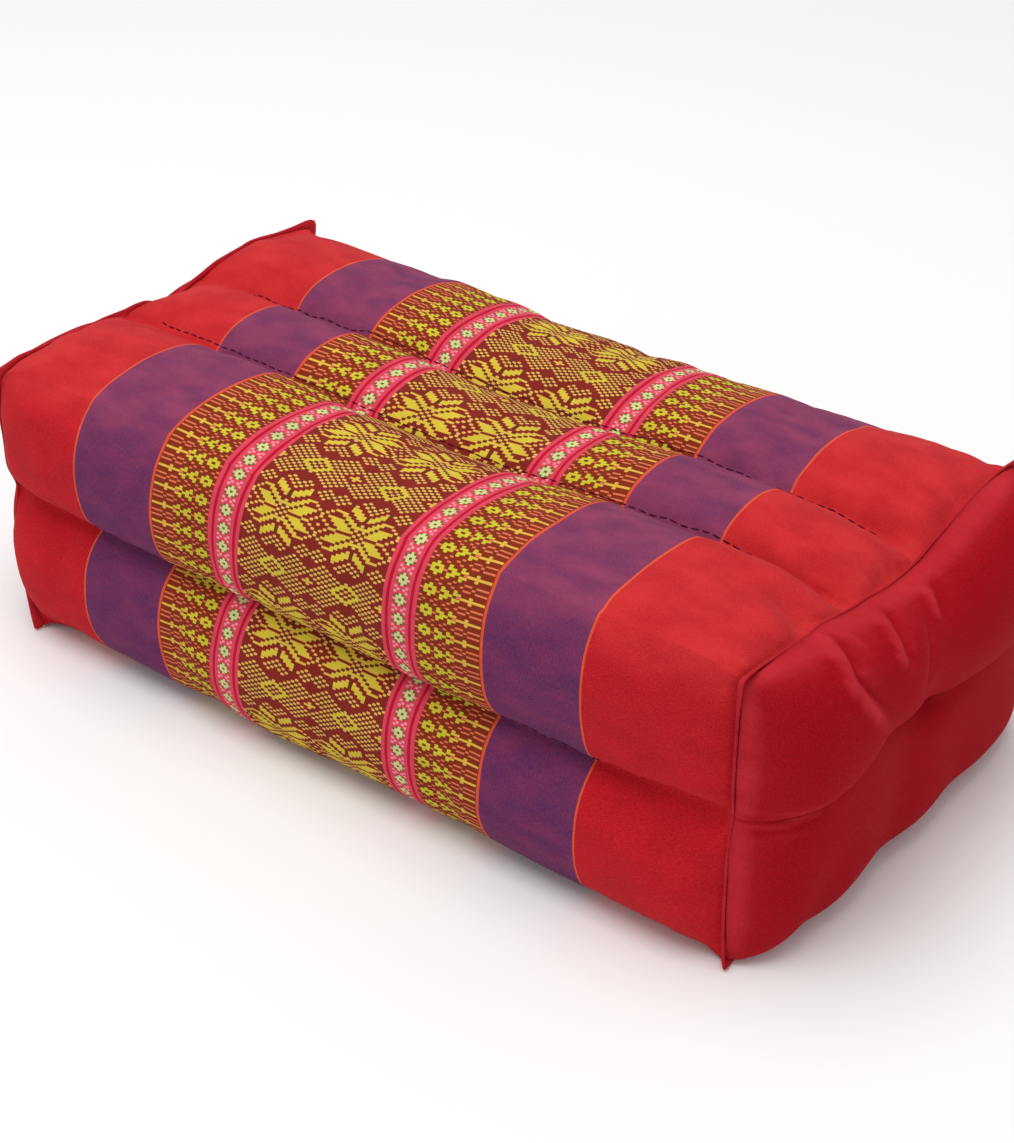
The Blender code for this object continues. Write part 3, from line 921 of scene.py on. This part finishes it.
# Dents and ridges of the wrap near its seams. Columns are width, sharpness and path, and a path's are x, y, z
# and depth, all in millimetres from the middle of the seams at the floor. A ridge's depth is negative.
WRAP_DENTS = (
    (5, 1.5, ((155, -45, 117, 0), (165, -48, 115, 5.5), (175, -50, 112, 5))),
    (5, 2, ((155, -56, 118, 0), (166, -58, 116, -2.8), (175, -59, 113, -2))),
    (6, 1.3, ((60, -24, 112, 0), (110, -24, 111, 2.5), (150, -24, 108, 5.5), (166, -24, 107, 5),
              (174, -24, 105, 2.5))),
    (9, 2, ((100, -40, 118, 0), (130, -39, 118, -2), (150, -37, 117, -3.5), (166, -36, 114, -3),
            (174, -37, 111, -1))),
    (5, 1.3, ((60, 24, 111, 0), (120, 24, 110, 1), (150, 24, 108, 2.5), (166, 24, 107, 3),
              (174, 24, 105, 2))),
    (2.5, 1.5, ((166, 12, 110, 0), (174, 12, 107, 1.4))),
    (4.5, 1.2, ((120, -97, 57, 0), (143, -97, 57, 2), (162, -96, 56, 3.5), (175, -92, 55, 3))),
    (1.8, 1.4, ((150, -97, 62, 0), (162, -95, 61, 1.1), (174, -92, 59, 1.1))),
    (1.8, 1.4, ((155, -97, 51, 0), (174, -93, 52, 1.1))),
    (2, 1.4, ((163, -101, 19, 0), (176, -98, 18, 1.3))),
    (5, 1.3, ((-60, 24, 111, 0), (-140, 24, 110, 0.8), (-166, 24, 110, 2), (-174, 24, 108, 1.2))),
    (5, 1.3, ((-60, -24, 112, 0), (-140, -24, 111, 0.8), (-166, -24, 110, 2), (-174, -24, 108, 1.2))),
    (5, 1.2, ((-120, -97, 57, 0), (-143, -97, 57, 2), (-165, -96, 56, 3.5), (-175, -92, 56, 3))),
    (4, 1.6, ((-162, -52, 113, 0), (-174, -56, 108, 1.8))),
    (4, 1.6, ((-160, 60, 112, 0), (-174, 63, 109, 1.8))),
)
DENTED_LENGTH = 120 * MM  # from each end seam
DENT_REACH = 4  # in widths
DENT_OFF_CLOTH = 12  # millimetres
SEAM_CUT = 1.6 * MM  # from the seam to the needle's line, where the turned edges are pressed down
SEAM_PRESS = 0.45 * MM
SEAM_PRESS_REACH = 2.4 * MM
SEAM_RIPPLE = {"height": 0.8 * MM, "reach": 9 * MM, "waves": ((0.26, 0.3), (0.61, 1.9), (0.97, 4.2))}
STITCH_RIPPLE = {"height": 0.5 * MM, "reach": 5 * MM, "waves": ((0.52, 0.0), (0.31, 2.2), (1.05, 1.1))}


def dent_depth(dent, place, outward):
    """How deep a dent is at a place in millimetres, measured along the cloth and not through it."""
    width, sharpness, path = dent
    beside, depth = DENT_REACH * width, 0
    for gap, run_depth in path_gaps(path, place):
        off_cloth = gap.dot(outward)
        if abs(off_cloth) < DENT_OFF_CLOTH:
            beside, depth = min((beside, depth), ((gap - outward * off_cloth).length, run_depth))
    return depth * MM * math.exp(-((beside / width) ** sharpness))


def ripple(facts, place, beside):
    """Small puckers beside a sewn line, for a place along it in millimetres."""
    waves = sum(math.sin(turns * place + start) for turns, start in facts["waves"]) / len(facts["waves"])
    return facts["height"] * waves * math.exp(-beside / facts["reach"])


def gather(piece):
    """Draws in the wrap's dents and puckers, along its normals."""
    mesh = piece.data
    cube_place = mesh.attributes["cube_place"].data
    pushes = []
    for vert, normal, item in zip(mesh.vertices, mesh.vertex_normals, cube_place):
        along, across, up = item.vector
        if not on_edge(across, up) or abs(along) > EDGE:
            continue
        place = (vert.co - MIDDLE_SHIFT) / MM
        from_seam = (1 - abs(along)) * SEAM_LENGTH / 2
        from_line = abs(up) * SIDE_STITCH_HEIGHT
        if abs(up) > EDGE:
            from_line = abs(abs(across) - TOP_LINE) * SEAM_WIDTH / 2
        push = ripple(SEAM_RIPPLE, place.y + place.z, from_seam) + ripple(STITCH_RIPPLE, place.x, from_line)
        if from_seam < DENTED_LENGTH:
            push -= sum(dent_depth(dent, place, normal.vector) for dent in WRAP_DENTS)
        if from_seam < SEAM_PRESS_REACH:
            push -= SEAM_PRESS
        pushes.append((vert, normal.vector * push))
    for vert, push in pushes:
        vert.co += push
        vert.co.z = max(vert.co.z, 0)


needle_line = 1 - SEAM_CUT / (SEAM_LENGTH / 2)
filled = cut_cube(WRAP_FACES, eased, (-needle_line, needle_line))
shape_filled(filled)
map_cloth(filled)
wrap = add_piece("filled_wrap", filled, woven_wrap_cloth())
press_out(wrap)
gather(wrap)
subdivide(wrap)
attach(wrap, "root")
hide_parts("woven_wrap")

# End panels
# A rectangle of plain crimson cotton closes each end. It is sewn to the wrap with the raw edges turned in a
# narrow fin, and the filling presses it out in two rows, with folds that the seam's gathers throw.
CLOTH = 1.0 * MM
CLOTH_LIFT = 0.85 * MM
FLOOR_GAP = 0.3 * MM
SEAM_LAP = 0.35 * MM
SEAM_SHARPNESS = 0.6
TAB_POWER = 10
FIN = 1.5 * MM
FIN_WAVES = ((0.6, 5, 0.6), (0.4, 11, 0.0))  # columns are share, around and start
PANEL_FACES = {"along": 2, "outer channel": 32, "middle channel": 22, "side channel": 34}


def turned_edge(facts, place, across, up):
    step = Vector((0, math.copysign(abs(across) > EDGE, across), math.copysign(abs(up) > EDGE, up)))
    angle = math.atan2(up, across)
    wave = sum(share * math.sin(around * angle + start) for share, around, start in FIN_WAVES)
    tab = facts["tab"] * min(abs(across), abs(up)) ** TAB_POWER
    height = FIN + facts["fin_wave"] * wave + tab
    edge = place + step * height
    edge.x += facts["side"] * facts["lean"] * height
    edge.z = max(edge.z, FLOOR_GAP)
    return edge


def end_panel(facts):
    sheet = cut_cube(PANEL_FACES, even)
    cube_place = sheet.verts.layers.float_vector.new("cube_place")
    elsewhere = [f for f in sheet.faces if f.calc_center_median().x * facts["side"] < EDGE]
    bmesh.ops.delete(sheet, geom=elsewhere, context="FACES")
    for vert in sheet.verts:
        _, across, up = vert.co
        vert[cube_place] = vert.co
        vert.co = panel_point(facts, across, up)
        vert.co.z = max(vert.co.z, FLOOR_GAP + CLOTH + CLOTH_LIFT)
    sheet.normal_update()
    for vert in sheet.verts:
        if on_edge(*vert[cube_place].yz):
            vert.co.x -= facts["side"] * SEAM_LAP
        else:
            vert.co += vert.normal * CLOTH_LIFT
    cloth = sheet.loops.layers.uv.new("cloth")
    for face in sheet.faces:
        for loop in face.loops:
            place = loop.vert[cube_place]
            loop[cloth].uv = place[1] * SEAM_WIDTH / 2 / MM, place[2] * SIDE_STITCH_HEIGHT / MM
    sharp = sheet.edges.layers.float.new("crease_edge")
    rim = [e for e in sheet.edges if e.is_boundary]
    turned = bmesh.ops.extrude_edge_only(sheet, edges=rim)
    for edge in rim:
        edge[sharp] = SEAM_SHARPNESS
    for vert in [g for g in turned["geom"] if isinstance(g, bmesh.types.BMVert)]:
        vert.co = turned_edge(facts, vert.co, *vert[cube_place].yz)
    bmesh.ops.recalc_face_normals(sheet, faces=sheet.faces)
    if sum(f.normal.x for f in sheet.faces) * facts["side"] < 0:
        bmesh.ops.reverse_faces(sheet, faces=sheet.faces)
    paint_ridge_highlights(sheet)
    for vert in sheet.verts:
        vert.co += MIDDLE_SHIFT
    return sheet


# The pale pink is a painted highlight on the panels' ridges and turned edges, and the tint of their sheen
PANEL_COLOURS = {"crimson": colour(162, 2, 20), "deep": colour(148, 1, 14), "painted_highlight": colour(206, 52, 62)}
PANEL_RANGE = (0.35, 0.65)
PAINTED_HIGHLIGHT_SHARES = (0.5, 0.2)  # the slubs' part in the painted highlight, and the even part
PANEL_WEAVE = 0.3
# How far a point stands above its neighbours where the painted highlight starts, and where it is full
RIDGE_START = 0.08 * MM
RIDGE_FULL = 0.42 * MM


def panel_cotton():
    material, tree = new_material("panel_cotton")
    threads = threads_at(tree, *cloth_map(tree))
    thread = eased_off(tree, threads["Warp"], *PANEL_RANGE)
    cloth = dye(tree, thread, PANEL_COLOURS["crimson"], PANEL_COLOURS["deep"])
    # painted highlight: ridges and turned edges are painted pale pink
    painted_highlight = wire(tree, "ShaderNodeAttribute", {}, attribute_name="painted_highlight").outputs["Fac"]
    painted_highlight = times(tree, painted_highlight, reckon(tree, "MULTIPLY_ADD", threads["Slub"], *PAINTED_HIGHLIGHT_SHARES))
    cloth = napped(tree, dye(tree, painted_highlight, cloth, PANEL_COLOURS["painted_highlight"]), threads, PANEL_NAP)
    relief = reckon(tree, "MULTIPLY_ADD", threads["Weave"], PANEL_WEAVE, threads["Weft"])
    cloth_finish(tree, cloth, relief, bump_depth=0.12 * MM)
    surface = tree.nodes["Principled BSDF"].inputs
    surface["Sheen Weight"].default_value = 0.22
    surface["Sheen Tint"].default_value = PANEL_COLOURS["painted_highlight"]
    return material


def paint_ridge_highlights(sheet):
    """Marks where a pale highlight is painted on the cotton: on its ridges and along the turned edge."""
    painted_highlight = sheet.verts.layers.float.new("painted_highlight")
    cube_place = sheet.verts.layers.float_vector["cube_place"]
    sheet.normal_update()
    for vert in sheet.verts:
        around = [e.other_vert(vert).co for e in vert.link_edges]
        stands = (vert.co - sum(around, Vector()) / len(around)).dot(vert.normal)
        ridge = max(0.0, min(1.0, (stands - RIDGE_START) / (RIDGE_FULL - RIDGE_START)))
        vert[painted_highlight] = 1.0 if on_edge(*vert[cube_place].yz) else ridge


panel_material = panel_cotton()
for end, facts in ENDS.items():
    panel = add_piece(f"end_cloth_{end}", end_panel(facts), panel_material)
    subdivide(panel)
    wall = panel.modifiers.new("cloth", "SOLIDIFY")
    wall.thickness = CLOTH
    wall.offset = 1.0
    wall.use_rim = True
    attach(panel, "root")
    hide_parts(f"end_panel_{end}")

# Quilting stitches
# Running stitches of dark twisted thread go right through the cushion along its six lines, pulled tight so
# that each lies in its crease.
STITCH_LENGTH = 3.6 * MM
STITCH_PITCH = 4.4 * MM
STITCH_THICKNESS = 0.65 * MM
STITCH_SIDES = {"u_segments": 8, "v_segments": 5}
ABOVE_CREASE = 20 * MM
# The stitched lines. Columns are across and up on the cube, start and end along the cushion, the way the
# cloth faces, and how far off the crease a stitch lies. Lengths are in millimetres.
STITCH_LINES = (
    (TOP_LINE, 1, -158, 162, (0, 0, 1), (0, 1.9, 0)),
    (-TOP_LINE, 1, -156, 138, (0, 0, 1), (0, 1.5, 0)),
    (TOP_LINE, -1, -158, 158, (0, 0, -1), (0, 0, 0)),
    (-TOP_LINE, -1, -158, 158, (0, 0, -1), (0, 0, 0)),
    (-1, 0, -140, 128, (0, -1, 0), (0, 0, 1)),
    (1, 0, -150, 150, (0, 1, 0), (0, 0, 1)),
)


def thread_material():
    material, tree = new_material("quilting_thread")
    place = wire(tree, "ShaderNodeTexCoord", {}).outputs["Object"]
    ply = wire(tree, "ShaderNodeTexWave", {"Vector": place, "Scale": 900.0, "Distortion": 2.0})
    base = dye(tree, ply.outputs["Fac"], colour(60, 10, 34), colour(92, 16, 44))
    cloth_finish(tree, base, ply.outputs["Fac"], bump_depth=0.1 * MM)
    return material


def crease_table(piece, line_across, line_up):
    """The places x, y and z of the cloth's points along one stitched line."""
    cube_place = piece.data.attributes["cube_place"].data
    places = []
    for vert, item in zip(piece.data.vertices, cube_place):
        _, across, up = item.vector
        if abs(across - line_across) < LINE_MATCH and abs(up - line_up) < LINE_MATCH:
            places.append(tuple(vert.co))
    return zip(*sorted(places))


def lay_thread(bm, start, end):
    """One stitch of thread from start to end, pointed where it dives into the cloth."""
    run = end - start
    size = Matrix.Diagonal((STITCH_THICKNESS / 2, STITCH_THICKNESS / 2, run.length / 2, 1))
    turn = run.to_track_quat("Z", "Y").to_matrix().to_4x4()
    place = Matrix.Translation((start + end) / 2) @ turn @ size
    bmesh.ops.create_uvsphere(bm, **STITCH_SIDES, radius=1, matrix=place)


def stitches(piece):
    wrapped = BVHTree.FromObject(piece, bpy.context.evaluated_depsgraph_get())
    bm = bmesh.new()
    for across, up, first, last, outward, beside in STITCH_LINES:
        xs, ys, zs = crease_table(piece, across, up)
        outward, beside = Vector(outward), Vector(beside) * MM
        for k in range(int((last - first) * MM / STITCH_PITCH)):
            middle = first * MM + (k + 0.5) * STITCH_PITCH
            ends = []
            for step in (-0.5, 0.5):
                x = middle + step * STITCH_LENGTH + MIDDLE_SHIFT.x
                crease = Vector((x, np.interp(x, xs, ys), np.interp(x, xs, zs)))
                above = crease + beside + outward * ABOVE_CREASE
                ends.append(wrapped.ray_cast(above, -outward)[0])
            if None not in ends:
                lay_thread(bm, *ends)
    return bm


bpy.context.view_layer.update()
thread = add_piece("quilting_stitches", stitches(wrap), thread_material())
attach(thread, "root")

# Floor, light and camera
# A plain pale floor in a bright studio, and the photograph's view.
VIEW_TURNS = (38.24, 32.62, -0.18)  # azimuth, elevation and roll in degrees
VIEW_DISTANCE = 1.2336
VIEW_TARGET = Vector((-0.1645, 0.2210, -0.1366))
FOCAL_PIXELS = 2262
PHOTO_HEIGHT = 1143
SENSOR = 36
FLOOR_SIZE = 12


def studio_floor():
    bm = bmesh.new()
    bmesh.ops.create_grid(bm, x_segments=1, y_segments=1, size=FLOOR_SIZE / 2)
    material, tree = new_material("studio_floor")
    surface = tree.nodes["Principled BSDF"].inputs
    surface["Base Color"].default_value = (0.92, 0.92, 0.92, 1)
    surface["Roughness"].default_value = 0.9
    return add_piece("studio_floor", bm, material)


def photo_camera():
    azimuth, elevation, roll = map(math.radians, VIEW_TURNS)
    data = bpy.data.cameras.new("photo_camera")
    data.sensor_width = SENSOR
    data.lens = FOCAL_PIXELS / PHOTO_HEIGHT * SENSOR
    camera = add_thing("photo_camera", data)
    turn = Matrix.Rotation(azimuth, 4, "Z") @ Matrix.Rotation(math.pi / 2 - elevation, 4, "X")
    back = turn @ Vector((0, 0, VIEW_DISTANCE))
    place = Matrix.Translation(VIEW_TARGET + back + MIDDLE_SHIFT)
    camera.matrix_world = place @ turn @ Matrix.Rotation(roll, 4, "Z")
    bpy.context.scene.camera = camera


def soft_light(name, place, size, watts):
    data = bpy.data.lights.new(name, "AREA")
    data.shape = "DISK"
    data.size = size
    data.energy = watts
    turn = place.to_track_quat("Z", "Y").to_matrix().to_4x4()
    add_thing(name, data).matrix_world = Matrix.Translation(place) @ turn


studio_floor()
photo_camera()
soft_light("overhead", Vector((-0.2, -0.3, 1.9)), size=1.8, watts=24)
world = bpy.data.worlds.new("studio_air")
world.use_nodes = True
air = world.node_tree.nodes["Background"].inputs
air["Color"].default_value = (1, 1, 1, 1)
air["Strength"].default_value = 0.62
bpy.context.scene.world = world
bpy.context.scene.view_settings.view_transform = "Standard"
